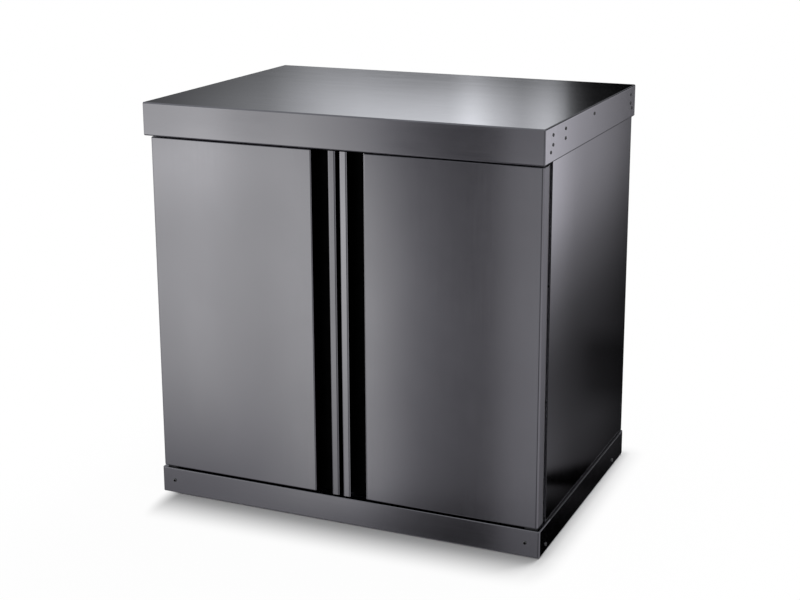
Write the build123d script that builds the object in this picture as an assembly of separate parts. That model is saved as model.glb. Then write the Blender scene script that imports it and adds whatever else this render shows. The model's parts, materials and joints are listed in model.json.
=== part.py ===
from build123d import *
import os

os.makedirs("parts", exist_ok=True)

# The frame: X to the right seen from the front, Y to the back, Z up, the origin on the floor
# under the middle of the worktop. Lengths are in millimetres.

# Worktop, a folded cap that overhangs everything under it
worktop_width = 905.0
worktop_depth = 655.0
cabinet_height = 900.0
skirt_height = 72.5
worktop_sheet = 1.5
worktop_bend = 1.5
return_flange = 25.0

# Sheets, folds and fits
body_sheet = 1.2
door_sheet = 1.2
plinth_sheet = 1.5
inside_bend = 0.4
door_bend = 1.3
door_side_bend = 3.8
fit_gap = 0.4
hole_clearance = 0.1
running_clearance = 0.06

# Plinth
plinth_top = 61.0
plinth_floor_gap = 2.0
plinth_side_inset = 1.5
plinth_front_inset = 17.0
plinth_back_inset = 6.0
plinth_corner_bend = 2.5
plinth_ledge = 70.0
plinth_flange = 30.0
plinth_foot_flange = 15.0
plinth_seam = 0.4

# Doors
door_side_inset = 6.5
door_front_inset = 17.0
door_thickness = 36.0
door_end_gap = 5.0
door_rear_gap = 13.0
centre_gap = 8.8
door_rear_flange = 15.0
liner_inset = 0.8

# Grip channel down the middle edge of each door
lip_width = 17.6
lip_hem = 6.0
lip_bend = 2.5
grip_mouth = 36.8
grip_depth = 25.0
grip_leg_setback = 3.0

# Body
body_side_inset = 5.5
body_back_inset = 4.0
body_flange = 30.0
rail_height = 30.0
rail_depth = 25.0
base_height = 24.0
back_panel_inset = 1.5

# Shelf and the angles that it rests on
shelf_top = 430.0
shelf_lip = 25.0
shelf_side_gap = 3.6
shelf_front_setback = 26.0
shelf_back_gap = 21.0
support_sheet = 2.0
support_leaf = 20.0
support_drop = 30.0
support_length = 40.0
support_end_inset = 35.0

# Pivot hinges
pivot_side_inset = 18.0
hinge_plate = 3.0
hinge_width = 28.0
hinge_nose = 12.0
hinge_nose_round = 6.0
hinge_leaf_height = 42.0
hinge_bend = 1.5
hinge_screw_edge = 7.0
hinge_screw_pitch = 15.0
pin_radius = 4.0
pin_engagement = 14.0
bush_wall = 2.4
bush_flange_radius = 9.0
bush_axial_gap = 0.3
pivot_block_height = 15.0
pivot_block_width = 24.0

# Magnetic catches and buffers
catch_width = 40.0
catch_height = 14.0
catch_centre = 40.0
catch_drop = 3.0
catch_corner = 2.0
catch_ear_width = 7.0
catch_ear_depth = 4.0
magnet_width = 20.0
magnet_height = 8.0
magnet_depth = 7.0
catch_gap = 0.3
strike_thickness = 1.0
buffer_radius = 6.0
buffer_rim = 1.0
buffer_gap = 0.3
buffer_inner_place = 100.0
buffer_outer_gap = 78.0

# Fixings under the worktop
bracket_sheet = 2.0
bracket_leaf = 20.0
bracket_bend = 1.0
bracket_top_gap = 10.0
bracket_corner_gap = 24.0
bracket_end_margin = 20.0
stiffener_width = 40.0
stiffener_drop = 30.0

# Rivets on the sides of the worktop, placed from its edges
front_rivet_inset = 49.0
second_rivet_inset = 129.0
front_corner_rivet_inset = 35.5
rear_rivet_inset = 39.0
rear_corner_rivet_inset = 27.0
upper_rivet_drop = 18.0
lower_rivet_drop = 37.5
corner_rivet_drop = 50.5
rivet_radius = 2.0
rivet_head_radius = 3.6
rivet_head_height = 1.3
rivet_mouth_radius = 1.1
rivet_tail_radius = 3.0
rivet_tail_length = 3.0

# Pan-head screws of the plinth, the worktop and the back panel
screw_radius = 2.0
screw_length = 8.0
screw_head_radius = 4.0
screw_head_height = 2.2
recess_length = 4.6
recess_width = 1.1
recess_depth = 1.2
dome_share = 0.8
plinth_front_screw_inset = 31.5
plinth_front_screw_height = 32.0
plinth_side_screw_height = 17.0
plinth_side_front_screw_inset = 42.0
plinth_side_rear_screw_inset = 90.0
back_screw_edge = 12.0
back_screw_shares = (0, 1 / 4, 1 / 2, 3 / 4, 1)
worktop_screw_inset = 10.0
worktop_screw_gap = 14.0
plinth_joint_inset = 12.0
plinth_joint_end = 150.0

# Small screws of the liners and catches, and countersunk screws of the hinges
small_screw_radius = 1.5
small_screw_length = 5.0
small_head_radius = 3.0
small_head_height = 1.6
catch_screw_length = 7.0
liner_screw_shares = (0, 1 / 3, 2 / 3, 1)
sunk_screw_radius = 2.5
sunk_screw_length = 9.0
sunk_head_radius = 4.6
sunk_head_height = 2.4

# Levelling feet and the corner plates that carry them
corner_plate = 3.0
corner_plate_across = 80.0
corner_plate_along = 110.0
corner_plate_cut = 8.0
corner_plate_height = 26.0
corner_tab_height = 22.0
corner_tab_drop = 18.0
foot_inset = 45.0
foot_pad_radius = 20.0
foot_pad_thickness = 5.0
foot_pad_round = 2.5
foot_sole_radius = 19.0
foot_sole_thickness = 3.0
foot_hex_radius = 9.0
foot_hex_height = 8.0
foot_stem_radius = 5.0
foot_stem_length = 32.0
foot_stem_hole = 5.8
nut_hex_radius = 10.0

# Planes that the pieces share
worktop_side = worktop_width / 2
worktop_front = -worktop_depth / 2
worktop_back = worktop_depth / 2
worktop_underside = cabinet_height - worktop_sheet
skirt_bottom = cabinet_height - skirt_height
skirt_inside = worktop_side - worktop_sheet

door_front = worktop_front + door_front_inset
door_back = door_front + door_thickness
door_side = worktop_side - door_side_inset
door_bottom = plinth_top + door_end_gap
door_top = skirt_bottom - door_end_gap
door_middle_edge = centre_gap / 2
face_edge = door_middle_edge + lip_width + grip_mouth + door_sheet
grip_back = door_front + grip_depth + door_sheet

body_side = worktop_side - body_side_inset
body_front = door_back + door_rear_gap
body_back = worktop_back - body_back_inset
flange_back = body_back - body_sheet
wall_inside = body_side - body_sheet
nest_side = wall_inside - fit_gap
nest_front = body_front + body_sheet + fit_gap
nest_back = flange_back - body_sheet - fit_gap
base_bottom = plinth_top + body_sheet
base_top = base_bottom + base_height
rail_top = skirt_bottom - body_sheet
rail_bottom = rail_top - rail_height

plinth_side = worktop_side - plinth_side_inset
plinth_front = worktop_front + plinth_front_inset
plinth_back = worktop_back - plinth_back_inset
plinth_inside = plinth_side - plinth_sheet

pivot_x = door_side - pivot_side_inset
pivot_y = (door_front + door_back) / 2
bush_radius = pin_radius + running_clearance + bush_wall
bush_flange = door_end_gap - hinge_plate - bush_axial_gap

# Plain shapes that the pieces are built from


def block(low, high):
    """A box between its lowest and its highest corner."""
    size = [top - bottom for bottom, top in zip(low, high)]
    middle = [(top + bottom) / 2 for bottom, top in zip(low, high)]
    return Pos(*middle) * Box(*size)


def hollow_box(low, high, sheet, bend):
    """A closed box of sheet, bent to the same inside radius along every edge."""
    outside = block(low, high)
    inside = block([edge + sheet for edge in low], [edge - sheet for edge in high])
    outside = fillet(outside.edges(), bend + sheet)
    return outside - fillet(inside.edges(), bend)


def tray(low, high, sheet, open_axis, open_end):
    """A sheet with four flanges, open at the low end (0) or the high end (1) of one axis."""
    ends = [list(low), list(high)]
    reach = 2 * (inside_bend + sheet)
    ends[open_end][open_axis] += reach if open_end else -reach
    return hollow_box(*ends, sheet, inside_bend) & block(low, high)


def inside_line(path, sheet):
    """The path of a sheet's other face, one thickness to the right of a square-cornered path."""
    points = [Vector(*point) for point in path]
    steps = [(there - here).normalized() for here, there in zip(points, points[1:])]
    sides = [Vector(step.Y, -step.X) for step in steps]
    corners = [before + after for before, after in zip(sides, sides[1:])]
    shifts = [sides[0]] + corners + [sides[-1]]
    return [point + shift * sheet for point, shift in zip(points, shifts)]


def folded_strip(path, sheet, bends, plane, middle, length):
    """A folded strip: its outer face follows a path that only turns right, drawn on a plane.

    The bends are the inside radii at the path's corners, in order.
    """
    outer = [Vector(*point) for point in path]
    inner = inside_line(path, sheet)
    edges = [
        FilletPolyline(*outer, radius=[bend + sheet for bend in bends]),
        Line(outer[-1], inner[-1]),
        FilletPolyline(*inner, radius=bends),
        Line(inner[0], outer[0]),
    ]
    section = make_face(Curve() + edges)
    return Pos(*middle) * extrude(plane * section, amount=length / 2, both=True)


def standing_on(point, outward):
    """A place on a surface, with its own Z pointing away from the surface."""
    return Plane(origin=point, z_dir=outward)


def upright(radius, bottom, top):
    """A round bar along Z between two heights."""
    return Pos(0, 0, (bottom + top) / 2) * Cylinder(radius, top - bottom)


def hexagon(radius, bottom, top):
    """A hexagonal bar along Z between two heights, given its corner radius."""
    return Pos(0, 0, bottom) * extrude(RegularPolygon(radius, 6), amount=top - bottom)


def both_sides(*shapes):
    """Pieces of the right side, each followed by its mirror image on the left."""
    return [copy for shape in shapes for copy in (shape, mirror(shape, about=Plane.YZ))]


def save(name, *shapes):
    """Write one node, as a single solid or as a group of separate solids."""
    solids = [solid for shape in shapes for solid in shape.solids()]
    node = solids[0] if len(solids) == 1 else Compound(children=solids)
    node.label = name
    export_step(node, f"parts/{name}.step")


# Fasteners, each with its head above Z zero and its shank below


def domed_head(radius, height):
    """A low head, rounded at its rim."""
    head = upright(radius, 0, height)
    return fillet(head.edges().group_by(Axis.Z)[-1], height * dome_share)


def pan_screw(radius, length, head_radius, head_height):
    """A pan-head screw with a cross recess."""
    head = domed_head(head_radius, head_height)
    bars = [
        Box(recess_length, recess_width, 2 * recess_depth),
        Box(recess_width, recess_length, 2 * recess_depth),
    ]
    return head - [Pos(0, 0, head_height) * bar for bar in bars] + upright(radius, -length, 0)


def large_screw():
    """The pan-head screw of the plinth, the worktop and the back panel."""
    return pan_screw(screw_radius, screw_length, screw_head_radius, screw_head_height)


def small_screw(length):
    """The pan-head screw of the liners and the catches."""
    return pan_screw(small_screw_radius, length, small_head_radius, small_head_height)


def sunk_screw(extra):
    """A countersunk screw, its flat head flush with Z zero; extra widens it to a cutter."""
    head = Cone(sunk_screw_radius + extra, sunk_head_radius + extra, sunk_head_height)
    head = Pos(0, 0, -sunk_head_height / 2) * head
    return head + upright(sunk_screw_radius + extra, -sunk_screw_length, 0)


def blind_rivet(grip):
    """A blind rivet that clamps a stack of sheets, with the open mouth left by its mandrel."""
    head = domed_head(rivet_head_radius, rivet_head_height)
    mouth = upright(rivet_mouth_radius, rivet_head_height / 3, 2 * rivet_head_height)
    tail = upright(rivet_tail_radius, -grip - rivet_tail_length, -grip)
    return head - mouth + upright(rivet_radius, -grip, 0) + tail


def large_hole(point, outward):
    """A cutter for a large screw, through all the sheets that it joins."""
    bar = Cylinder(screw_radius + hole_clearance, 4 * screw_length)
    return standing_on(point, outward) * bar


def small_hole(point, outward):
    """A cutter for a small screw."""
    bar = Cylinder(small_screw_radius + hole_clearance, 4 * small_screw_length)
    return standing_on(point, outward) * bar


def rivet_holes(places):
    """Cutters for rivets through both sides of the worktop, from their Y and Z."""
    bar = Cylinder(rivet_radius + hole_clearance, worktop_width + worktop_sheet)
    return [Pos(0, y, z) * Rot(0, 90, 0) * bar for y, z in places]


# Places of the fasteners: a point on a surface and the direction that the head faces


def worktop_rivet_places():
    """Y and Z of the rivets on each side of the worktop, from the front to the back."""
    upper = cabinet_height - upper_rivet_drop
    lower = cabinet_height - lower_rivet_drop
    corner = cabinet_height - corner_rivet_drop
    return [
        (worktop_front + front_corner_rivet_inset, corner),
        (worktop_front + front_rivet_inset, upper),
        (worktop_front + front_rivet_inset, lower),
        (worktop_front + second_rivet_inset, upper),
        (worktop_front + second_rivet_inset, lower),
        (0, upper),
        (worktop_back - rear_rivet_inset, upper),
        (worktop_back - rear_rivet_inset, lower),
        (worktop_back - rear_corner_rivet_inset, corner),
    ]


def worktop_screw_places():
    """Screws up through the right side panel's top flange into the worktop's lower flange."""
    x = body_side - worktop_screw_inset
    front = nest_front + rail_depth + worktop_screw_gap
    back = nest_back - rail_depth - worktop_screw_gap
    return [((x, y, rail_top), (0, 0, -1)) for y in (front, back)]


def plinth_joint_places():
    """Screws up through the right plinth rail's top flange into the side panel."""
    x = body_side - plinth_joint_inset
    underside = plinth_top - plinth_sheet
    ends = (body_front + plinth_joint_end, flange_back - plinth_joint_end)
    return [((x, y, underside), (0, 0, -1)) for y in ends]


def plinth_screw_places():
    """Screws on the outside of the right half of the plinth."""
    end = plinth_side - plinth_front_screw_inset
    side_front = plinth_front + plinth_side_front_screw_inset
    side_back = plinth_back - plinth_side_rear_screw_inset
    return [
        ((end, plinth_front, plinth_front_screw_height), (0, -1, 0)),
        ((end, plinth_back, plinth_front_screw_height), (0, 1, 0)),
        ((plinth_side, side_front, plinth_side_screw_height), (1, 0, 0)),
        ((plinth_side, side_back, plinth_side_screw_height), (1, 0, 0)),
    ]


def back_screw_places():
    """Screws down the right edge of the back panel, and along its rail and its base."""
    edge = body_side - back_panel_inset - back_screw_edge
    low = (base_bottom + base_top) / 2
    high = (rail_bottom + rail_top) / 2
    heights = [low + (high - low) * share for share in back_screw_shares]
    places = [(edge, height) for height in heights] + [(edge / 2, low), (edge / 2, high)]
    return [((x, body_back, z), (0, 1, 0)) for x, z in places]


def liner_screw_places():
    """Screws that hold the right door's liner to the rear flanges of its skin."""
    edge = door_rear_flange / 2
    left, right = face_edge + edge, door_side - edge
    bottom, top = door_bottom + edge, door_top - edge
    heights = [bottom + (top - bottom) * share for share in liner_screw_shares]
    places = [(x, height) for x in (left, right) for height in heights]
    places += [((left + right) / 2, height) for height in (bottom, top)]
    return [((x, door_back, z), (0, 1, 0)) for x, z in places]


def catch_screw_places():
    """Screws through the two ears of the right-hand catch."""
    bottom, top = catch_heights()
    reach = (catch_width - catch_ear_width) / 2
    front = nest_front - catch_ear_depth
    return [((catch_centre + x, front, (bottom + top) / 2), (0, -1, 0)) for x in (-reach, reach)]


def large_holes(places):
    """Cutters for large screws at some places of the right side and at their mirror images."""
    return both_sides(*[large_hole(point, outward) for point, outward in places])


def fitted(screw, places):
    """A copy of a fastener at each place of the right side and at its mirror image."""
    return both_sides(*[standing_on(point, outward) * screw for point, outward in places])


# Worktop and what is fixed to it


def make_worktop():
    """One sheet folded down at all four edges and in again along the bottom."""
    low = (-worktop_side, worktop_front, skirt_bottom)
    high = (worktop_side, worktop_back, cabinet_height)
    mouth_side = worktop_side - return_flange
    mouth = block(
        (-mouth_side, worktop_front + return_flange, skirt_bottom - worktop_sheet),
        (mouth_side, worktop_back - return_flange, skirt_bottom + skirt_height / 2),
    )
    pan = hollow_box(low, high, worktop_sheet, worktop_bend) - mouth
    return pan - rivet_holes(worktop_rivet_places()) - large_holes(worktop_screw_places())


def make_stiffener():
    """A channel across the middle of the worktop, with a riveted plate at each end."""
    edge = stiffener_width / 2
    top, bottom = worktop_underside, worktop_underside - stiffener_drop
    reach = skirt_inside - bracket_sheet
    path = [(edge, top), (edge, bottom), (-edge, bottom), (-edge, top)]
    bends = [bracket_bend, bracket_bend]
    channel = folded_strip(path, bracket_sheet, bends, Plane.YZ, (0, 0, 0), 2 * reach)
    end = block((reach, -edge, bottom), (skirt_inside, edge, top - worktop_bend))
    return channel + both_sides(end) - rivet_holes([(0, cabinet_height - upper_rivet_drop)])


def make_worktop_brackets():
    """Angles inside the worktop's corners, which rest on its lower flange."""
    shelf = skirt_bottom + worktop_sheet
    top = cabinet_height - bracket_top_gap
    path = [(skirt_inside, top), (skirt_inside, shelf), (skirt_inside - bracket_leaf, shelf)]
    front_start = worktop_front + bracket_corner_gap
    front_end = worktop_front + second_rivet_inset + bracket_end_margin
    rear_start = worktop_back - rear_rivet_inset - bracket_end_margin
    rear_end = worktop_back - worktop_sheet - worktop_bend
    runs = ((front_start, front_end), (rear_start, rear_end))
    angles = []
    for start, end in runs:
        middle = (0, (start + end) / 2, 0)
        angle = folded_strip(path, bracket_sheet, [bracket_bend], Plane.XZ, middle, end - start)
        angle = angle - rivet_holes(worktop_rivet_places()) - large_holes(worktop_screw_places())
        angles.append(angle)
    return both_sides(*angles)


def make_worktop_rivets():
    """The rivets that show on both sides of the worktop."""
    rivet = blind_rivet(worktop_sheet + bracket_sheet)
    places = [((worktop_side, y, z), (1, 0, 0)) for y, z in worktop_rivet_places()]
    return fitted(rivet, places)


# Body


def hinge_screws(extra):
    """The right-hand hinges' countersunk screws, in a row for the lower and one for the upper."""
    first = hinge_leaf_height - hinge_screw_edge
    steps = (first, first - hinge_screw_pitch)
    leaf = body_front - hinge_plate
    screw = sunk_screw(extra)
    lower = [standing_on((pivot_x, leaf, plinth_top + step), (0, -1, 0)) * screw for step in steps]
    upper = [standing_on((pivot_x, leaf, skirt_bottom - step), (0, -1, 0)) * screw for step in steps]
    return lower, upper


def hinge_screw_holes():
    """Cutters for all the hinge screws, on both sides."""
    lower, upper = hinge_screws(hole_clearance)
    return both_sides(*lower, *upper)


def make_side_panel():
    """The right side panel, a sheet with a flange turned in along every edge."""
    low = (body_side - body_flange, body_front, plinth_top)
    high = (body_side, flange_back, skirt_bottom)
    places = back_screw_places() + worktop_screw_places() + plinth_joint_places()
    return tray(low, high, body_sheet, 0, 0) - large_holes(places) - hinge_screw_holes()


def make_back_panel():
    """A flat sheet screwed to the rear flanges of the body."""
    side = body_side - back_panel_inset
    low = (-side, flange_back, plinth_top + back_panel_inset)
    high = (side, body_back, skirt_bottom - back_panel_inset)
    return block(low, high) - large_holes(back_screw_places())


def make_base_panel():
    """The cabinet's floor, a sheet with flanges turned down that stand in the side panels."""
    low = (-nest_side, nest_front, base_bottom)
    high = (nest_side, nest_back, base_top)
    panel = tray(low, high, body_sheet, 2, 0)
    return panel - large_holes(back_screw_places()) - hinge_screw_holes()


def make_front_rail():
    """The channel across the top of the front, behind the doors."""
    inner = nest_front + rail_depth
    path = [(inner, rail_bottom), (nest_front, rail_bottom), (nest_front, rail_top), (inner, rail_top)]
    bends = [inside_bend, inside_bend]
    rail = folded_strip(path, body_sheet, bends, Plane.YZ, (0, 0, 0), 2 * nest_side)
    catch_holes = [small_hole(point, outward) for point, outward in catch_screw_places()]
    return rail - hinge_screw_holes() - both_sides(*catch_holes)


def make_rear_rail():
    """The channel across the top of the back."""
    inner = nest_back - rail_depth
    path = [(inner, rail_top), (nest_back, rail_top), (nest_back, rail_bottom), (inner, rail_bottom)]
    bends = [inside_bend, inside_bend]
    rail = folded_strip(path, body_sheet, bends, Plane.YZ, (0, 0, 0), 2 * nest_side)
    return rail - large_holes(back_screw_places())


def make_shelf():
    """The shelf, a sheet with its edges turned down."""
    side = wall_inside - shelf_side_gap
    low = (-side, body_front + shelf_front_setback, shelf_top - shelf_lip)
    high = (side, flange_back - shelf_back_gap, shelf_top)
    return tray(low, high, body_sheet, 2, 0)


def make_shelf_supports():
    """Short angles welded to the side panels, two under each end of the shelf."""
    top = shelf_top - shelf_lip
    path = [(wall_inside - support_leaf, top), (wall_inside, top), (wall_inside, top - support_drop)]
    front = body_front + shelf_front_setback + support_end_inset
    back = flange_back - shelf_back_gap - support_end_inset
    angles = [
        folded_strip(path, support_sheet, [bracket_bend], Plane.XZ, (0, y, 0), support_length)
        for y in (front, back)
    ]
    return both_sides(*angles)


# Plinth


def make_plinth():
    """The plinth's front, back and right rail, cut from one ring of channel open inwards."""
    low = (-plinth_side, plinth_front, plinth_floor_gap)
    high = (plinth_side, plinth_back, plinth_top)
    outer = block(low, high)
    inner = block([edge + plinth_sheet for edge in low], [edge - plinth_sheet for edge in high])
    outer = fillet(outer.edges().filter_by(Axis.Z), plinth_corner_bend + plinth_sheet)
    inner = fillet(inner.edges().filter_by(Axis.Z), plinth_corner_bend)
    rims = outer.faces().filter_by(Axis.Z).edges()
    outer = fillet(rims, inside_bend + plinth_sheet)
    top_hole = block(
        (-plinth_side + plinth_flange, plinth_front + plinth_ledge, plinth_top - 2 * plinth_sheet),
        (plinth_side - plinth_flange, plinth_back - plinth_flange, plinth_top + plinth_sheet),
    )
    bottom_hole = block(
        (-plinth_side + plinth_foot_flange, plinth_front + plinth_foot_flange, 0),
        (plinth_side - plinth_foot_flange, plinth_back - plinth_foot_flange, plinth_top / 2),
    )
    ring = outer - inner - top_hole - bottom_hole
    ring = ring - large_holes(plinth_screw_places() + plinth_joint_places())
    front_seam = plinth_front + plinth_ledge
    back_seam = plinth_back - plinth_flange
    front_part = block((-worktop_side, worktop_front, 0), (worktop_side, front_seam, plinth_top))
    back_part = block((-worktop_side, back_seam, 0), (worktop_side, worktop_back, plinth_top))
    right_part = block(
        (0, front_seam + plinth_seam, 0), (worktop_side, back_seam - plinth_seam, plinth_top)
    )
    return ring & front_part, ring & back_part, ring & right_part


def make_plinth_joint_screws():
    """The screws that hold the body down on the plinth."""
    return fitted(large_screw(), plinth_joint_places())


def corner_block(wall, inward, across, along, bottom, top):
    """A box in a right-hand corner of the plinth, with heights above the plate's underside."""
    ends = sorted((wall, wall + inward * along))
    low = (plinth_inside - across, ends[0], corner_plate_height + bottom)
    high = (plinth_inside, ends[1], corner_plate_height + top)
    return block(low, high)


def foot_place(inward):
    """X and Y of a right-hand foot, at the front for 1 and at the back for -1."""
    wall = plinth_front if inward > 0 else plinth_back
    return plinth_side - foot_inset, wall + inward * foot_inset


def make_corner_plates():
    """A plate in each corner of the plinth, with a tab up the front and a tab down the side."""
    across, along, cut = corner_plate_across, corner_plate_along, corner_plate_cut
    plates = []
    for wall, inward in ((plinth_front + plinth_sheet, 1), (plinth_back - plinth_sheet, -1)):
        flat = corner_block(wall, inward, across, along, 0, corner_plate)
        tab_up = corner_block(wall, inward, across, corner_plate, 0, corner_tab_height)
        tab_down = corner_block(wall, inward, corner_plate, along, -corner_tab_drop, corner_plate)
        notch = corner_block(wall, inward, cut, cut, -corner_tab_drop, corner_tab_height)
        x, y = foot_place(inward)
        stem_hole = Pos(x, y, 0) * upright(foot_stem_hole, 0, plinth_top)
        plate = flat + tab_up + tab_down - notch - stem_hole
        plates.append(plate - large_holes(plinth_screw_places()))
    return both_sides(*plates)


def make_foot_nuts():
    """A weld nut under each corner plate."""
    bottom = foot_sole_thickness + foot_pad_thickness + foot_hex_height
    nut = hexagon(nut_hex_radius, bottom, corner_plate_height)
    nut = nut - upright(foot_stem_radius + running_clearance, 0, plinth_top)
    return both_sides(*[Pos(*foot_place(inward), 0) * nut for inward in (1, -1)])


def make_foot():
    """A levelling foot, wound right in: pad, hexagon and stem, and the sole under the pad."""
    pad_top = foot_sole_thickness + foot_pad_thickness
    hex_top = pad_top + foot_hex_height
    pad = upright(foot_pad_radius, foot_sole_thickness, pad_top)
    pad = fillet(pad.edges().group_by(Axis.Z)[-1], foot_pad_round)
    stem = upright(foot_stem_radius, hex_top, hex_top + foot_stem_length)
    foot = pad + hexagon(foot_hex_radius, pad_top, hex_top) + stem
    return foot, upright(foot_sole_radius, 0, foot_sole_thickness)


# Hinges


def make_hinge_brackets():
    """The lower and the upper hinge bracket of the right door."""
    nose = pivot_y - hinge_nose
    low_leaf, high_leaf = plinth_top + hinge_leaf_height, skirt_bottom - hinge_leaf_height
    low_path = [(body_front, low_leaf), (body_front, plinth_top), (nose, plinth_top)]
    high_path = [(nose, skirt_bottom), (body_front, skirt_bottom), (body_front, high_leaf)]
    pin_hole = Pos(pivot_x, pivot_y, 0) * upright(pin_radius + hole_clearance, 0, cabinet_height)
    middle = (pivot_x, 0, 0)
    brackets = []
    for path, screws in zip((low_path, high_path), hinge_screws(hole_clearance)):
        bracket = folded_strip(path, hinge_plate, [hinge_bend], Plane.YZ, middle, hinge_width)
        nose_edges = bracket.edges().filter_by(Axis.Z).group_by(Axis.Y)[0]
        brackets.append(fillet(nose_edges, hinge_nose_round) - pin_hole - screws)
    return brackets


def make_hinge_pins():
    """The lower and the upper pin on each side, held in their brackets."""
    lower = upright(pin_radius, plinth_top, door_bottom + pin_engagement)
    upper = upright(pin_radius, door_top - pin_engagement, skirt_bottom)
    return both_sides(*[Pos(pivot_x, pivot_y, 0) * pin for pin in (lower, upper)])


def make_hinge_screws():
    """All the countersunk hinge screws."""
    lower, upper = hinge_screws(0)
    return both_sides(*lower, *upper)


# Doors


def door_body(low, high, side_round, edge_round):
    """A box with a wide rounding down its outer side and a tight one along its other edges."""
    body = block(low, high)
    body = fillet(body.edges().filter_by(Axis.Z).group_by(Axis.X)[-1], side_round)
    middle_edges = body.edges().filter_by(Axis.Z).group_by(Axis.X)[0]
    ends = body.edges().group_by(Axis.Z)
    return fillet(middle_edges + ends[0] + ends[-1], edge_round)


def make_door_skin():
    """The right door's outer sheet, folded back at its four edges and in behind them."""
    skin_back = door_back - door_sheet
    low = (face_edge, door_front, door_bottom)
    high = (door_side, skin_back, door_top)
    window = block(
        (face_edge + door_rear_flange, pivot_y, door_bottom + door_rear_flange),
        (door_side - door_rear_flange, door_back, door_top - door_rear_flange),
    )
    bush_hole = upright(bush_radius + hole_clearance, 0, cabinet_height)
    screw_holes = [small_hole(point, outward) for point, outward in liner_screw_places()]
    inner_low, inner_high = [edge + door_sheet for edge in low], [edge - door_sheet for edge in high]
    inside = door_body(inner_low, inner_high, door_side_bend, door_bend)
    outside = door_body(low, high, door_side_bend + door_sheet, door_bend + door_sheet)
    skin = outside - inside - window
    return skin - Pos(pivot_x, pivot_y, 0) * bush_hole - screw_holes


def make_door_liner():
    """The right door's inner sheet, with a fold that closes the door's middle edge."""
    outer = door_side - liner_inset
    path = [(door_middle_edge, grip_back), (door_middle_edge, door_back), (outer, door_back)]
    bottom, top = door_bottom + liner_inset, door_top - liner_inset
    middle = (0, 0, (bottom + top) / 2)
    liner = folded_strip(path, door_sheet, [inside_bend], Plane.XY, middle, top - bottom)
    return liner - [small_hole(point, outward) for point, outward in liner_screw_places()]


def make_grip_channel():
    """The channel that fingers reach into, and the lip that they pull, over the door's height."""
    lip_edge = door_middle_edge + lip_width
    path = [
        (lip_edge, door_front + lip_hem),
        (lip_edge, door_front),
        (door_middle_edge, door_front),
        (door_middle_edge, grip_back),
        (face_edge, grip_back),
        (face_edge, door_front + grip_leg_setback),
    ]
    bends = [lip_bend, lip_bend, inside_bend, inside_bend]
    middle = (0, 0, (door_bottom + door_top) / 2)
    return folded_strip(path, door_sheet, bends, Plane.XY, middle, door_top - door_bottom)


def make_liner_screws():
    """The small screws on the inside of the right door."""
    screw = small_screw(small_screw_length)
    return [standing_on(point, outward) * screw for point, outward in liner_screw_places()]


def make_pivot_blocks():
    """Blocks inside the right door's bottom and top edges, which hold its bushes."""
    edge = pivot_block_width / 2
    bore = upright(bush_radius + hole_clearance, 0, cabinet_height)
    bottoms = (door_bottom + door_sheet, door_top - door_sheet - pivot_block_height)
    blocks = [block((-edge, -edge, low), (edge, edge, low + pivot_block_height)) for low in bottoms]
    return [Pos(pivot_x, pivot_y, 0) * (body - bore) for body in blocks]


def make_bushes():
    """Flanged bushes in the right door's bottom and top edges."""
    length = door_sheet + pivot_block_height
    lower = upright(bush_flange_radius, door_bottom - bush_flange, door_bottom)
    lower = lower + upright(bush_radius, door_bottom, door_bottom + length)
    upper = upright(bush_flange_radius, door_top, door_top + bush_flange)
    upper = upper + upright(bush_radius, door_top - length, door_top)
    bore = upright(pin_radius + running_clearance, 0, cabinet_height)
    return [Pos(pivot_x, pivot_y, 0) * (bush - bore) for bush in (lower, upper)]


# Catches and buffers


def catch_heights():
    """The lowest and the highest point of the magnetic catches."""
    top = door_top - catch_drop
    return top - catch_height, top


def make_strike_plate():
    """The plate on the back of the right door that the magnet pulls."""
    bottom, top = catch_heights()
    edge = catch_width / 2
    low = (catch_centre - edge, door_back, bottom)
    high = (catch_centre + edge, door_back + strike_thickness, top)
    return block(low, high)


def make_catch():
    """The right-hand catch: a housing with two ears on the front rail, and its magnet."""
    bottom, top = catch_heights()
    middle = (bottom + top) / 2
    face = door_back + strike_thickness + catch_gap
    edge = catch_width / 2
    nose = edge - catch_ear_width
    ear_front = nest_front - catch_ear_depth
    ears = block((catch_centre - edge, ear_front, bottom), (catch_centre + edge, nest_front, top))
    ears = fillet(ears.edges().filter_by(Axis.Y), catch_corner)
    body = block((catch_centre - nose, face, bottom), (catch_centre + nose, nest_front, top))
    magnet = block(
        (catch_centre - magnet_width / 2, face, middle - magnet_height / 2),
        (catch_centre + magnet_width / 2, face + magnet_depth, middle + magnet_height / 2),
    )
    screw_holes = [small_hole(point, outward) for point, outward in catch_screw_places()]
    return ears + body - magnet - screw_holes, magnet


def make_buffers():
    """Rubber buffers on the base panel's front, which the doors close on."""
    height = (base_bottom + base_top) / 2
    body = upright(buffer_radius, 0, nest_front - door_back - buffer_gap)
    body = fillet(body.edges().group_by(Axis.Z)[-1], buffer_rim)
    places = (buffer_inner_place, pivot_x - buffer_outer_gap)
    return fitted(body, [((x, nest_front, height), (0, -1, 0)) for x in places])


# Write every node

save("worktop", make_worktop())
save("worktop_stiffener", make_stiffener())
save("worktop_brackets", *make_worktop_brackets())
save("worktop_rivets", *make_worktop_rivets())
save("worktop_screws", *fitted(large_screw(), worktop_screw_places()))

right_panel, left_panel = both_sides(make_side_panel())
save("right_side_panel", right_panel)
save("left_side_panel", left_panel)
save("back_panel", make_back_panel())
save("back_panel_screws", *fitted(large_screw(), back_screw_places()))
save("base_panel", make_base_panel())
save("front_top_rail", make_front_rail())
save("rear_top_rail", make_rear_rail())
save("shelf", make_shelf())
save("shelf_supports", *make_shelf_supports())

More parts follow.
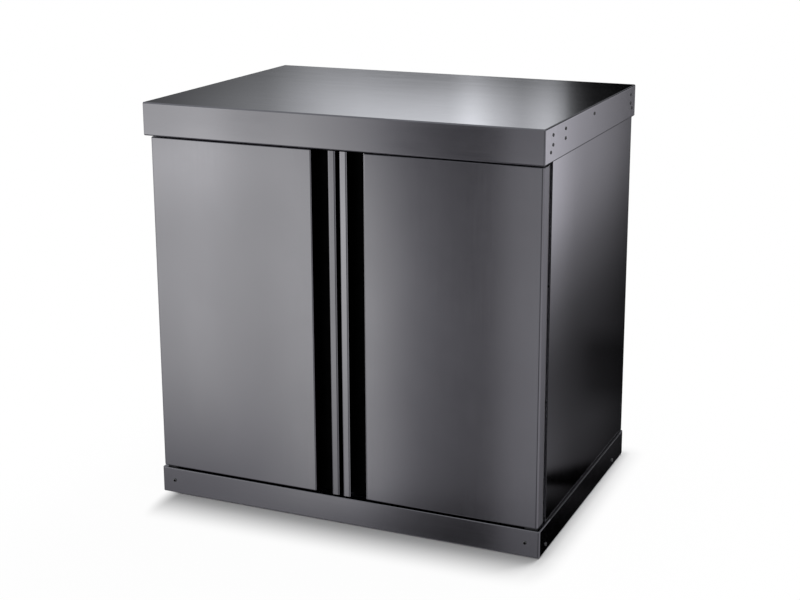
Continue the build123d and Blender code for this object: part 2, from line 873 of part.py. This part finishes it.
front_plinth, back_plinth, side_plinth = make_plinth()
right_plinth, left_plinth = both_sides(side_plinth)
save("plinth_front", front_plinth)
save("plinth_back", back_plinth)
save("plinth_right", right_plinth)
save("plinth_left", left_plinth)
save("plinth_corner_plates", *make_corner_plates())
save("plinth_screws", *fitted(large_screw(), plinth_screw_places()))
save("plinth_joint_screws", *make_plinth_joint_screws())
save("foot_nuts", *make_foot_nuts())

foot, sole = make_foot()
for end, inward in (("front", 1), ("rear", -1)):
    foot_x, foot_y = foot_place(inward)
    for side, sign in (("left", -1), ("right", 1)):
        save(f"{end}_{side}_foot", Pos(sign * foot_x, foot_y, 0) * foot)
        save(f"{end}_{side}_foot_sole", Pos(sign * foot_x, foot_y, 0) * sole)

for height, bracket in zip(("lower", "upper"), make_hinge_brackets()):
    right_bracket, left_bracket = both_sides(bracket)
    save(f"right_{height}_hinge_bracket", right_bracket)
    save(f"left_{height}_hinge_bracket", left_bracket)
save("hinge_pins", *make_hinge_pins())
save("hinge_screws", *make_hinge_screws())

housing, magnet = make_catch()
save("catch_housings", *both_sides(housing))
save("catch_magnets", *both_sides(magnet))
save("catch_screws", *fitted(small_screw(catch_screw_length), catch_screw_places()))
save("door_buffers", *make_buffers())

door_pieces = {
    "skin": [make_door_skin()],
    "liner": [make_door_liner()],
    "grip_channel": [make_grip_channel()],
    "liner_screws": make_liner_screws(),
    "pivot_blocks": make_pivot_blocks(),
    "bushes": make_bushes(),
    "strike_plate": [make_strike_plate()],
}
for name, shapes in door_pieces.items():
    save(f"right_door_{name}", *shapes)
    save(f"left_door_{name}", *[mirror(shape, about=Plane.YZ) for shape in shapes])
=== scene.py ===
import json
import math
import bpy
from mathutils import Matrix, Vector

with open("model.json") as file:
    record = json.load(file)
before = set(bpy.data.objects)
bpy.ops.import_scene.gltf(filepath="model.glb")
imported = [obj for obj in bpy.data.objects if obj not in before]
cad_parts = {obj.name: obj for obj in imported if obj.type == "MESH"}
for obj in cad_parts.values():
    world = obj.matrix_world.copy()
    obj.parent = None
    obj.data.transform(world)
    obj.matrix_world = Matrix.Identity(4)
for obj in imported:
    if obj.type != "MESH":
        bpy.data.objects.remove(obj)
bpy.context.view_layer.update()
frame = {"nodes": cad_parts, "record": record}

WHITE = (1.0, 1.0, 1.0, 1.0)

# Inputs and output of a Mix node for each kind of data
MIX_SOCKETS = {"FLOAT": (2, 3, 0), "RGBA": (6, 7, 2)}


# Small helpers for node trees


def new_material(name):
    """An empty node material, its tree and its output."""
    material = bpy.data.materials.new(name)
    material.use_nodes = True
    tree = material.node_tree
    tree.nodes.clear()
    return material, tree, tree.nodes.new("ShaderNodeOutputMaterial")


def put(socket, value):
    """Give a socket a number or colour, or link it."""
    if isinstance(value, bpy.types.NodeSocket):
        socket.id_data.links.new(value, socket)
    else:
        socket.default_value = value


def math_node(tree, operation, *values, kind="ShaderNodeMath"):
    """The result of an operation on numbers, or on vectors where kind says so."""
    node = tree.nodes.new(kind)
    node.operation = operation
    for socket, value in zip(node.inputs, values):
        put(socket, value)
    return node.outputs[0]


def length_of(tree, first, second):
    """The length of the line whose two parts stand at a right angle."""
    squares = [math_node(tree, "MULTIPLY", part, part) for part in (first, second)]
    return math_node(tree, "SQRT", math_node(tree, "ADD", *squares))


def smooth(tree, value, low, high, start=0.0, end=1.0, kind="SMOOTHSTEP"):
    """A soft step of a value from start to end between two limits."""
    node = tree.nodes.new("ShaderNodeMapRange")
    node.interpolation_type = kind
    settings = {"Value": value, "From Min": low, "From Max": high, "To Min": start, "To Max": end}
    for key, number in settings.items():
        put(node.inputs[key], number)
    return node.outputs["Result"]


def mix(tree, factor, first, second, kind="MIX", data="RGBA"):
    """A blend of two colours, or of two numbers where data is FLOAT."""
    node = tree.nodes.new("ShaderNodeMix")
    node.data_type, node.blend_type = data, kind
    input_a, input_b, result = MIX_SOCKETS[data]
    put(node.inputs["Factor"], factor)
    put(node.inputs[input_a], first)
    put(node.inputs[input_b], second)
    return node.outputs[result]


def times(tree, first, second):
    """One colour multiplied by another."""
    return mix(tree, 1.0, first, second, "MULTIPLY")


def mix_shaders(tree, factor, first, second):
    node = tree.nodes.new("ShaderNodeMixShader")
    for socket, value in zip(node.inputs, (factor, first, second)):
        put(socket, value)
    return node.outputs[0]


def noise(tree, coordinates, scale, detail=3.0, roughness=0.55):
    """Noise at a scale that may differ along each axis."""
    mapping = tree.nodes.new("ShaderNodeMapping")
    put(mapping.inputs["Vector"], coordinates)
    mapping.inputs["Scale"].default_value = scale
    node = tree.nodes.new("ShaderNodeTexNoise")
    put(node.inputs["Vector"], mapping.outputs["Vector"])
    node.inputs["Scale"].default_value = 1.0
    node.inputs["Detail"].default_value = detail
    node.inputs["Roughness"].default_value = roughness
    return node.outputs["Fac"]


def rgb(colour):
    """Red, green and blue of a colour, which may be one grey."""
    return colour if isinstance(colour, tuple) else (colour, colour, colour)


def ramp(tree, value, stops, interpolation="EASE"):
    """A colour ramp of grey or coloured stops."""
    node = tree.nodes.new("ShaderNodeValToRGB")
    put(node.inputs["Fac"], value)
    node.color_ramp.interpolation = interpolation
    elements = node.color_ramp.elements
    while len(elements) > 1:
        elements.remove(elements[-1])
    for number, (place, colour) in enumerate(stops):
        element = elements[0] if number == 0 else elements.new(place)
        element.position = place
        element.color = (*rgb(colour), 1.0)
    return node.outputs["Color"]


def mottled(tree, grain, colour, darker, paler, low=0.3, high=0.7):
    """A colour times darker where the grain is low and times paler where it is high."""
    shades = [tuple(part * share for part in rgb(colour)) for share in (darker, paler)]
    return ramp(tree, grain, zip((low, high), shades))


def bump(tree, height, distance, strength, below=None):
    node = tree.nodes.new("ShaderNodeBump")
    node.inputs["Strength"].default_value = strength
    node.inputs["Distance"].default_value = distance
    put(node.inputs["Height"], height)
    if below is not None:
        put(node.inputs["Normal"], below)
    return node.outputs["Normal"]


def object_coordinates(tree):
    return tree.nodes.new("ShaderNodeTexCoord").outputs["Object"]


def object_normal(tree):
    """The normal in the piece's own frame, which a door takes along when it swings."""
    return tree.nodes.new("ShaderNodeTexCoord").outputs["Normal"]


def parts_of(tree, vector):
    """The X, Y and Z outputs of a vector."""
    node = tree.nodes.new("ShaderNodeSeparateXYZ")
    put(node.inputs[0], vector)
    return node.outputs


def squareness(tree):
    """1 on faces that look along an axis of the piece, 0 on bends and rounded edges."""
    x, y, z = (math_node(tree, "ABSOLUTE", part) for part in parts_of(tree, object_normal(tree)))
    largest = math_node(tree, "MAXIMUM", math_node(tree, "MAXIMUM", x, y), z)
    return smooth(tree, largest, 0.96, 0.99)


def show(tree, output, colour, roughness, normal=None, metallic=0.0):
    """Show a Principled shader at the material's output."""
    shader = tree.nodes.new("ShaderNodeBsdfPrincipled")
    shader.inputs["Metallic"].default_value = metallic
    put(shader.inputs["Base Color"], colour)
    put(shader.inputs["Roughness"], roughness)
    if normal is not None:
        put(shader.inputs["Normal"], normal)
    put(output.inputs["Surface"], shader.outputs["BSDF"])


# Materials of the cabinet

# Noise scales, in cells per metre
GRAIN_ALONG, GRAIN_ACROSS = 7.0, 1100.0
CLOUD_SCALE = (3.1, 3.1, 2.3)
HAZE_SCALE = (28.0, 28.0, 28.0)
BRUSH_SCALE = (5.0, 55.0, 55.0)
# What the grain adds to the roughness, and the depth in metres and strength of its relief
GRAIN_ROUGHNESS = 0.008
GRAIN_DEPTH, GRAIN_STRENGTH = 0.0001, 0.048
# The black film's tint, and the grey of the painted shade in a recess and the roughness it adds
# there
FILM_TINT = (1.0, 0.99, 1.065)
RECESS_SHADE, RECESS_ROUGHNESS = 0.003, 0.35
# Half the width of the edge of the painted shade in a recess, in metres
HALF_EDGE = 0.0005


def sheet_grain(tree, place, axis):
    """Fine streaks along an axis. On the faces that this axis points at, they run along Z."""
    def streaks(run):
        scale = [GRAIN_ACROSS] * 3
        scale["XYZ".index(run)] = GRAIN_ALONG
        return noise(tree, place, scale, detail=4.0)

    along = streaks(axis)
    if axis == "Z":
        return along
    facing = math_node(tree, "ABSOLUTE", parts_of(tree, object_normal(tree))[axis])
    return mix(tree, smooth(tree, facing, 0.5, 0.8), along, streaks("Z"), data="FLOAT")


def turned_left(tree, place, twist):
    """The normal of a front that turns to the left by twist, most at half height."""
    shares = ((0.1, 0.35), (0.37, 0.8), (0.5, 1.0), (0.63, 1.0), (0.82, 0.5))
    stops = [(height, share * twist) for height, share in shares]
    amount = ramp(tree, parts_of(tree, place)["Z"], stops)
    turn = tree.nodes.new("ShaderNodeCombineXYZ")
    put(turn.inputs["X"], math_node(tree, "MULTIPLY", amount, -1.0))
    bent = math_node(tree, "ADD", object_normal(tree), turn.outputs[0], kind="ShaderNodeVectorMath")
    to_world = tree.nodes.new("ShaderNodeVectorTransform")
    to_world.vector_type, to_world.convert_from, to_world.convert_to = "NORMAL", "OBJECT", "WORLD"
    put(to_world.inputs[0], bent)
    return math_node(tree, "NORMALIZE", to_world.outputs[0], kind="ShaderNodeVectorMath")


def sheet_steel(
    name, base, rough, grain, metallic=1.0, brushed=0.0, bends=None, dark_behind=None,
    soft_sides=0.0, twist=0.0,
):
    """Black stainless sheet: a faint grain, soft clouds in its colour and a fine haze of wear.

    The grain runs along the axis that grain names, and on the faces that axis points at along Z.
    On its top face, broad brush marks along X make it darker and duller in places, by the share
    that brushed gives.
    Bends are painted darker, to the grey that bends gives: painted shade that dims the reflections
    along their edges.
    Behind the depth that dark_behind gives, the sheet is painted near-black and made matt: painted
    shade in the grip's recess.
    Faces that look left or right are rougher by soft_sides.
    The front turns to the left by twist, most at half height.
    """
    material, tree, output = new_material(name)
    place = object_coordinates(tree)
    along = sheet_grain(tree, place, grain)
    clouds = noise(tree, place, CLOUD_SCALE, detail=2.0)
    haze = noise(tree, place, HAZE_SCALE, detail=5.0, roughness=0.65)
    shades = [(*(base * share * part for part in FILM_TINT), 1.0) for share in (0.95, 1.05)]
    colour = mix(tree, smooth(tree, clouds, 0.3, 0.7), *shades)
    if brushed:
        marks = noise(tree, place, BRUSH_SCALE, detail=4.0, roughness=0.6)
        on_top = smooth(tree, parts_of(tree, object_normal(tree))["Z"], 0.7, 0.9)
        worn = ramp(tree, marks, ((0.3, 1.0 - brushed), (0.7, 1.0)))
        colour = mix(tree, on_top, colour, worn, "MULTIPLY")
        rough = smooth(tree, marks, 0.3, 0.7, rough * (1.0 - brushed), rough * (1.0 + brushed))
    level = math_node(tree, "MULTIPLY", rough, smooth(tree, haze, 0.25, 0.75, 0.94, 1.08))
    streaks = smooth(tree, along, 0.35, 0.65, -GRAIN_ROUGHNESS, GRAIN_ROUGHNESS)
    level = math_node(tree, "ADD", level, streaks)
    # Painted shade: bends take the darker grey that bends gives, which dims their reflections
    if bends is not None:
        colour = mix(tree, squareness(tree), mottled(tree, haze, bends, 0.8, 1.2), colour)
    # Painted shade: near-black and matt behind a depth, where the grip's recess lies
    if dark_behind is not None:
        depth = parts_of(tree, place)["Y"]
        inside = smooth(tree, depth, dark_behind - HALF_EDGE, dark_behind + HALF_EDGE)
        colour = mix(tree, inside, colour, mottled(tree, haze, RECESS_SHADE, 2 / 3, 4 / 3))
        matt = math_node(tree, "MULTIPLY", inside, RECESS_ROUGHNESS)
        level = math_node(tree, "ADD", level, matt)
    if soft_sides:
        sideways = math_node(tree, "ABSOLUTE", parts_of(tree, object_normal(tree))["X"])
        level = math_node(tree, "ADD", level, smooth(tree, sideways, 0.6, 0.95, 0.0, soft_sides))
    below = turned_left(tree, place, twist) if twist else None
    normal = bump(tree, along, GRAIN_DEPTH, GRAIN_STRENGTH, below)
    show(tree, output, colour, level, normal, metallic)
    return material


def fastener(name, rim, shaded_flat):
    """A black fastener with a fine even grain and a paler rounded rim; its flat faces are painted
    near-black as painted shade at its centre.
    """
    material, tree, output = new_material(name)
    grain = noise(tree, object_coordinates(tree), (500.0, 500.0, 500.0))
    rounded, shaded_square = mottled(tree, grain, rim, 0.9, 1.1), mottled(tree, grain, shaded_flat, 0.8, 1.2)
    colour = mix(tree, squareness(tree), rounded, shaded_square)
    show(tree, output, colour, smooth(tree, grain, 0.3, 0.7, 0.28, 0.36), metallic=1.0)
    return material


def plain_metal(name, base, rough):
    """Turned or pressed steel with a fine even grain."""
    material, tree, output = new_material(name)
    grain = noise(tree, object_coordinates(tree), (400.0, 400.0, 400.0))
    level = smooth(tree, grain, 0.3, 0.7, rough * 0.8, rough * 1.25)
    normal = bump(tree, grain, 0.0002, 0.08)
    show(tree, output, mottled(tree, grain, base, 0.85, 1.1), level, normal, metallic=1.0)
    return material


def moulded(name, base, rough, scale, relief):
    """Rubber, plastic, powder coat or ferrite: a matt surface with a fine moulded texture."""
    material, tree, output = new_material(name)
    grain = noise(tree, object_coordinates(tree), (scale, scale, scale), detail=4.0)
    colour = mottled(tree, grain, base, 0.8, 1.25, 0.25, 0.75)
    level = smooth(tree, grain, 0.25, 0.75, rough * 0.85, rough * 1.15)
    show(tree, output, colour, level, bump(tree, grain, 0.0004, relief))
    return material


steel_across = sheet_steel("black_steel_grain_across", 0.33, 0.085, "X")
# Painted shade: the bends of the side and back panels are painted near-black
steel_upright = sheet_steel("black_steel_grain_upright", 0.33, 0.045, "Z", bends=0.02)
# Painted shade: the bends of the plinth sides are painted dark grey, which dims their highlights
steel_plinth_side = sheet_steel("black_steel_plinth_side", 0.33, 0.085, "X", bends=0.08)
steel_worktop = sheet_steel("black_steel_worktop", 0.34, 0.08, "X", brushed=0.12)
steel_door = sheet_steel("black_steel_door", 0.33, 0.085, "Z", soft_sides=0.24)
# The grips' sheet is painted darker on the left and paler on the right: painted shade and painted
# light on their lips
steel_left_grip = sheet_steel("black_steel_left_grip", 0.3, 0.115, "Z", dark_behind=-0.3085)
steel_right_grip = sheet_steel(
    "black_steel_right_grip", 0.38, 0.115, "Z", dark_behind=-0.304, twist=0.047
)

SLOTS = {
    "inner_steel": sheet_steel("black_steel_inside", 0.26, 0.3, "X", metallic=0.5),
    "bracket_steel": moulded("black_powder_coat", (0.03, 0.03, 0.032), 0.45, 900.0, 0.25),
    # Painted shade: the flat faces of rivets and screws are near-black
    "rivet_steel": fastener("rivet_steel", 0.22, 0.015),
    "screw_steel": fastener("screw_steel", 0.22, 0.01),
    "bright_steel": plain_metal("bright_steel", (0.55, 0.55, 0.56), 0.3),
    "black_plastic": moulded("black_plastic", (0.02, 0.02, 0.02), 0.42, 1400.0, 0.15),
    "magnet": moulded("ferrite", (0.05, 0.05, 0.052), 0.55, 700.0, 0.3),
    "rubber": moulded("black_rubber", (0.018, 0.018, 0.018), 0.7, 1100.0, 0.3),
}
slot_of = {piece["node"]: piece["material_slot"] for piece in frame["record"]["subparts"]}


def finish_of(name):
    """The material of a node, from its slot and the way that its sheet's grain runs."""
    slot = slot_of[name]
    if slot != "black_steel":
        return SLOTS[slot]
    if "grip_channel" in name:
        return steel_right_grip if name.startswith("right") else steel_left_grip
    if "door_skin" in name:
        return steel_door
    if "side_panel" in name or name == "back_panel":
        return steel_upright
    if name in ("plinth_left", "plinth_right"):
        return steel_plinth_side
    return steel_worktop if name == "worktop" else steel_across


for name, node in frame["nodes"].items():
    for place in node.material_slots:
        place.material = finish_of(name)


# Camera, from a fit to the corners in the photograph. Focal length and shift are in pixels.

IMAGE_WIDTH = 800.0
SENSOR_WIDTH = 36.0
FOCAL = 1531.75
SHIFT_DOWN = -60.0
CAMERA_PLACE = (1.35125, -3.08533, 1.40337)
YAW, PITCH, ROLL = (math.radians(angle) for angle in (23.5686, 13.9886, -0.1917))


def studio_camera():
    """The camera, turned by its yaw, tipped down by its pitch and then rolled."""
    right = Vector((math.cos(YAW), math.sin(YAW), 0.0))
    level = Vector((-math.sin(YAW), math.cos(YAW), 0.0))
    ahead = level * math.cos(PITCH) - Vector((0.0, 0.0, math.sin(PITCH)))
    above = level * math.sin(PITCH) + Vector((0.0, 0.0, math.cos(PITCH)))
    across = right * math.cos(ROLL) + above * math.sin(ROLL)
    upward = above * math.cos(ROLL) - right * math.sin(ROLL)
    lens = bpy.data.cameras.new("camera")
    lens.sensor_width = SENSOR_WIDTH
    lens.lens = FOCAL / IMAGE_WIDTH * SENSOR_WIDTH
    lens.shift_y = SHIFT_DOWN / IMAGE_WIDTH
    lens.clip_start, lens.clip_end = 0.05, 100.0
    camera = bpy.data.objects.new("camera", lens)
    bpy.context.scene.collection.objects.link(camera)
    turn = Matrix((across, upward, -ahead)).transposed().to_4x4()
    camera.matrix_world = Matrix.Translation(CAMERA_PLACE) @ turn
    bpy.context.scene.camera = camera


# Studio: a world that reads white to the camera, a pale floor and soft lamps.
# Directions are in degrees. Height is above the horizon. Facing is measured from straight in
# front of the object and bearing from straight behind it, both towards its right.

# Strength of the light on all that doesn't mirror
EVEN_LIGHT = 0.55
CEILING = (0.34, 0.34, 0.34, 1.0)
# Tints of what is above the horizon, low behind, and low in front where it is dark or pale
TINT_ABOVE = (0.98, 1.0, 1.04, 1.0)
TINT_BEHIND = (1.0, 0.985, 1.05, 1.0)
DARK_TINT, PALE_TINT = (1.0, 0.99, 1.06), (1.0, 1.0, 0.985)
# Bearing of the pale wall behind, on the right
PALE_WALL = 17.0


def degrees(tree, opposite, adjacent):
    """The angle whose tangent is one side over the other."""
    angle = math_node(tree, "ARCTAN2", opposite, adjacent)
    return math_node(tree, "MULTIPLY", angle, 180.0 / math.pi)


def by_angle(tree, angle, *stops):
    """Grey by angle, straight between the stops."""
    low, high = stops[0][0], stops[-1][0]
    share = smooth(tree, angle, low, high, kind="LINEAR")
    return ramp(tree, share, [((at - low) / (high - low), grey) for at, grey in stops], "LINEAR")


def tilted(tree, height, slope, bearing, pivot):
    """Height plus slope for each degree of bearing past the pivot."""
    past = math_node(tree, "SUBTRACT", bearing, pivot)
    return math_node(tree, "ADD", height, math_node(tree, "MULTIPLY", slope, past))


def low_in_front(tree, facing, height):
    """In front, below the horizon: pale on the left and dim where the camera stands."""
    left = by_angle(
        tree, facing, (-60, 0.8), (-40, 1.0), (-33, 1.04), (-31.9, 1.16), (-31.2, 1.3),
        (-30.5, 1.08), (-29.6, 0.83), (-28.8, 0.79), (-27.5, 0.92), (-26.6, 0.8), (-26, 0.74),
        (-24.8, 0.62), (-23.9, 0.37), (-23.2, 0.24), (-22, 0.172), (-21, 0.135), (-20.2, 0.112),
        (-19.75, 0.1), (-19.5, 0.36), (-19.1, 0.33), (-18.5, 0.3), (-17.5, 0.34), (-14, 0.36),
    )
    right = by_angle(
        tree, facing, (-14, 0.36), (-8, 0.2), (0, 0.1), (20, 0.12), (40, 0.3), (60, 0.4), (90, 0.4),
    )
    front = mix(tree, smooth(tree, facing, -15.0, -14.0), left, right)
    left_fall = by_angle(
        tree, height, (-30, 0.2), (-23.2, 0.22), (-22.5, 0.24), (-21.9, 0.34), (-21.5, 0.38),
        (-20, 0.53), (-17.7, 0.69), (-15.3, 0.83), (-12.9, 0.84), (-11.4, 1.0), (-10.5, 1.1),
        (-9.8, 0.84), (0, 0.84),
    )
    right_fall = by_angle(
        tree, height, (-30, 0.24), (-25, 0.3), (-24.5, 0.34), (-23.9, 0.47), (-23.4, 1.02),
        (-22, 1.09), (-19.4, 1.17), (-16.7, 1.34), (-14, 1.26), (-11.4, 1.05), (-10.4, 0.8),
        (0, 0.75),
    )
    corner_fall = by_angle(
        tree, height, (-30, 0.6), (-25, 0.63), (-24.5, 0.8), (-23.9, 0.85), (-23.3, 1.05),
        (-22, 1.1), (-19.4, 1.17), (-16.7, 1.3), (-14, 1.25), (-11.4, 1.25), (-10.4, 1.0),
        (0, 0.95),
    )
    fall = mix(tree, smooth(tree, facing, -31.0, -24.5, kind="LINEAR"), left_fall, right_fall)
    fall = mix(tree, smooth(tree, facing, -19.75, -19.5), fall, corner_fall)
    front = times(tree, front, fall)
    return times(tree, front, ramp(tree, front, ((0.08, DARK_TINT), (0.8, PALE_TINT))))


def low_behind(tree, bearing, height, beside):
    """Behind, below the horizon: pale on the right, and falling off towards a black floor.

    A grey skirting runs along the foot of the pale wall. Well beside this wall, the room only
    fades evenly downwards.
    """
    left = by_angle(
        tree, bearing, (-90, 0.55), (-60, 0.5), (-40, 0.4), (-20, 0.3), (0, 0.12), (12, 0.1),
    )
    near = by_angle(
        tree, bearing, (12, 0.1), (14.5, 0.12), (14.9, 0.17), (15.4, 0.285), (16.1, 0.395),
        (16.9, 0.47), (17.5, 0.79), (18.0, 0.95), (19, 0.9), (22, 0.6),
    )
    right = by_angle(tree, bearing, (22, 0.6), (40, 0.5), (90, 0.5))
    back = mix(tree, smooth(tree, bearing, 11.9, 12.1), left, near)
    back = mix(tree, smooth(tree, bearing, 21.9, 22.1), back, right)
    fall = by_angle(
        tree, tilted(tree, height, 0.8, bearing, 16.1), (-30, 0.02), (-22.6, 0.04), (-21.6, 0.11),
        (-20.5, 0.14), (-19, 0.115), (-18, 0.105), (-17, 0.125), (-15.6, 0.21), (-13.9, 0.42),
        (-13, 0.6), (-12.1, 0.8), (-11, 0.97), (-9.5, 1.05), (0, 1.0),
    )
    dent = by_angle(
        tree, height, (-20.4, 1.0), (-19.9, 0.8), (-19.3, 0.48), (-17.9, 0.43), (-17.0, 1.0),
    )
    fall = times(tree, fall, mix(tree, smooth(tree, bearing, 16.0, 16.8), dent, WHITE))
    skirting = by_angle(
        tree, height, (-24.2, 0.0), (-23.9, 0.08), (-23.6, 0.22), (-23.3, 0.48), (-23.05, 0.48),
        (-22.92, 0.0),
    )
    edge = tilted(tree, height, 0.25, bearing, PALE_WALL)
    edge = by_angle(tree, edge, (-22.45, 0.0), (-22.15, 1.0))
    skirting = mix(tree, 1.0, skirting, edge, "ADD")
    wall_fall = by_angle(tree, height, (-60, 0.4), (-30, 0.5), (-10, 1.0))
    fall = mix(tree, beside, times(tree, fall, skirting), wall_fall)
    return times(tree, back, times(tree, fall, TINT_BEHIND))


def window_behind(tree, bearing, height, beside):
    """Behind, above the horizon: one broad window low on the left, with a dim ceiling."""
    window = by_angle(
        tree, bearing, (-40, 0.06), (-34, 0.1), (-32, 0.145), (-30.5, 0.22), (-28.5, 0.33),
        (-27.3, 0.54), (-26.3, 0.71), (-25, 0.81), (-23, 0.79), (-21.7, 0.8), (-20.9, 1.05),
        (-20.6, 1.0), (-20, 0.74), (-19, 0.48), (-18, 0.68), (-17.5, 0.5), (-17.1, 0.1),
        (-16.5, 0.02), (-15, 0.003), (-8, 0.003), (0, 0.01), (20, 0.02), (25, 0.2),
    )
    left_wall = by_angle(tree, bearing, (-90, 0.45), (-60, 0.35))
    right_wall = by_angle(tree, bearing, (45, 0.35), (90, 0.45))
    window = mix(tree, smooth(tree, bearing, -60.0, -40.0), left_wall, window)
    window = mix(tree, smooth(tree, bearing, 25.0, 45.0), window, right_wall)
    left_rise = by_angle(
        tree, height, (0, 0.3), (7.4, 0.42), (7.9, 0.58), (8.2, 0.8), (9.0, 0.96), (9.8, 1.1),
        (15, 1.1), (30, 1.0),
    )
    rise = by_angle(
        tree, height, (0, 0.2), (7.5, 0.22), (7.7, 0.24), (8.0, 0.3), (8.3, 0.58), (8.6, 0.8),
        (9.0, 0.98), (9.4, 1.16), (9.8, 1.4), (15, 1.2), (30, 1.0),
    )
    rise = mix(tree, smooth(tree, bearing, -27.0, -23.0, kind="LINEAR"), left_rise, rise)
    ceiling_beside = math_node(tree, "MULTIPLY", beside, smooth(tree, height, 11.5, 20.0))
    ceiling = math_node(tree, "MAXIMUM", smooth(tree, height, 26.0, 36.0), ceiling_beside)
    return mix(tree, ceiling, times(tree, window, rise), CEILING)


def background(tree, colour, strength=1.0):
    node = tree.nodes.new("ShaderNodeBackground")
    put(node.inputs["Color"], colour)
    node.inputs["Strength"].default_value = strength
    return node.outputs[0]


def studio_world():
    """White behind the object; for lighting and reflections, a soft room with one broad window."""
    world = bpy.data.worlds.new("studio")
    bpy.context.scene.world = world
    world.use_nodes = True
    tree = world.node_tree
    tree.nodes.clear()
    x, y, z = parts_of(tree, tree.nodes.new("ShaderNodeTexCoord").outputs["Generated"])
    height = degrees(tree, z, length_of(tree, x, y))
    bearing = degrees(tree, x, y)
    facing = degrees(tree, x, math_node(tree, "MULTIPLY", y, -1.0))
    behind = smooth(tree, y, -0.2, 0.2)
    off_wall = math_node(tree, "ABSOLUTE", math_node(tree, "SUBTRACT", bearing, PALE_WALL))
    beside = smooth(tree, off_wall, 5.0, 9.0)
    lower = mix(
        tree, behind, low_in_front(tree, facing, height), low_behind(tree, bearing, height, beside),
    )
    opposite = by_angle(
        tree, facing, (-90, 0.4), (-60, 0.5), (-30, 0.36), (-15, 0.3), (30, 0.4), (90, 0.3),
    )
    upper = mix(tree, behind, opposite, window_behind(tree, bearing, height, beside))
    upper = times(tree, upper, TINT_ABOVE)
    mirrored = background(tree, mix(tree, smooth(tree, height, -1.0, 1.0), lower, upper))
    rays = tree.nodes.new("ShaderNodeLightPath").outputs
    even = background(tree, WHITE, EVEN_LIGHT)
    unseen = mix_shaders(tree, rays["Is Glossy Ray"], even, mirrored)
    seen = mix_shaders(tree, rays["Is Camera Ray"], unseen, background(tree, WHITE))
    put(tree.nodes.new("ShaderNodeOutputWorld").inputs["Surface"], seen)


FLOOR_REACH = 30.0
# Where the shadow and the painted contact shadow start to fade, in metres, and how many times as
# fast as in front
FOOT_LEFT, FOOT_RIGHT, FOOT_FRONT, FOOT_BACK = -0.405, 0.451, -0.3105, 0.3215
FADE_LEFT, FADE_RIGHT, FADE_BACK = 3.3, 2.4, 2.4


def studio_floor():
    """A pale floor that keeps the object's shadow, with a painted contact shadow near its foot, and
    runs out to white.
    """
    mesh = bpy.data.meshes.new("floor")
    corners = [
        (x * FLOOR_REACH, y * FLOOR_REACH, 0) for x, y in ((-1, -1), (1, -1), (1, 1), (-1, 1))
    ]
    mesh.from_pydata(corners, [], [(0, 1, 2, 3)])
    floor = bpy.data.objects.new("floor", mesh)
    bpy.context.scene.collection.objects.link(floor)
    material, tree, output = new_material("pale_floor")
    mesh.materials.append(material)
    x, y, _ = parts_of(tree, object_coordinates(tree))

    def past(far, near, fade):
        gap = math_node(tree, "MAXIMUM", math_node(tree, "SUBTRACT", far, near), 0.0)
        return math_node(tree, "MULTIPLY", gap, fade)

    across = math_node(
        tree, "ADD", past(x, FOOT_RIGHT, FADE_RIGHT), past(FOOT_LEFT, x, FADE_LEFT),
    )
    along = math_node(tree, "ADD", past(FOOT_FRONT, y, 1.0), past(y, FOOT_BACK, FADE_BACK))
    gap = length_of(tree, across, along)
    near, far = smooth(tree, gap, 0.0, 0.15, 0.0, 0.975), smooth(tree, gap, 0.2, 1.6, 0.0, 0.025)
    matt = tree.nodes.new("ShaderNodeBsdfDiffuse")
    # Painted shadow: the floor's colour is darker within 6 cm of the object's foot
    put(matt.inputs["Color"], ramp(tree, gap, ((0.0, 0.68), (0.06, 0.84))))
    white = tree.nodes.new("ShaderNodeEmission")
    white.inputs["Color"].default_value = WHITE
    white.inputs["Strength"].default_value = 1.0
    rays = tree.nodes.new("ShaderNodeLightPath").outputs
    away = math_node(tree, "MULTIPLY", math_node(tree, "ADD", near, far), rays["Is Camera Ray"])
    shown = mix_shaders(tree, away, matt.outputs[0], white.outputs[0])
    clear = tree.nodes.new("ShaderNodeBsdfTransparent").outputs[0]
    seen = mix_shaders(tree, rays["Is Glossy Ray"], shown, clear)
    put(output.inputs["Surface"], seen)


def soft_lamp(name, place, target, side, power):
    """A square lamp that no camera and no reflection shows."""
    light = bpy.data.lights.new(name, "AREA")
    light.shape = "RECTANGLE"
    light.size, light.size_y = side, side
    light.energy = power
    lamp = bpy.data.objects.new(name, light)
    bpy.context.scene.collection.objects.link(lamp)
    place, target = Vector(place), Vector(target)
    aim = (target - place).to_track_quat("-Z", "Y").to_matrix().to_4x4()
    lamp.matrix_world = Matrix.Translation(place) @ aim
    lamp.visible_camera = False
    lamp.visible_glossy = False


bpy.context.scene.view_settings.view_transform = "Standard"
studio_camera()
studio_world()
studio_floor()
soft_lamp("key", (1.2, 3.0, 4.2), (0.0, 0.0, 0.2), side=2.6, power=200.0)
soft_lamp("fill", (-2.5, -3.6, 3.4), (0.0, 0.0, 0.4), side=2.4, power=20.0)
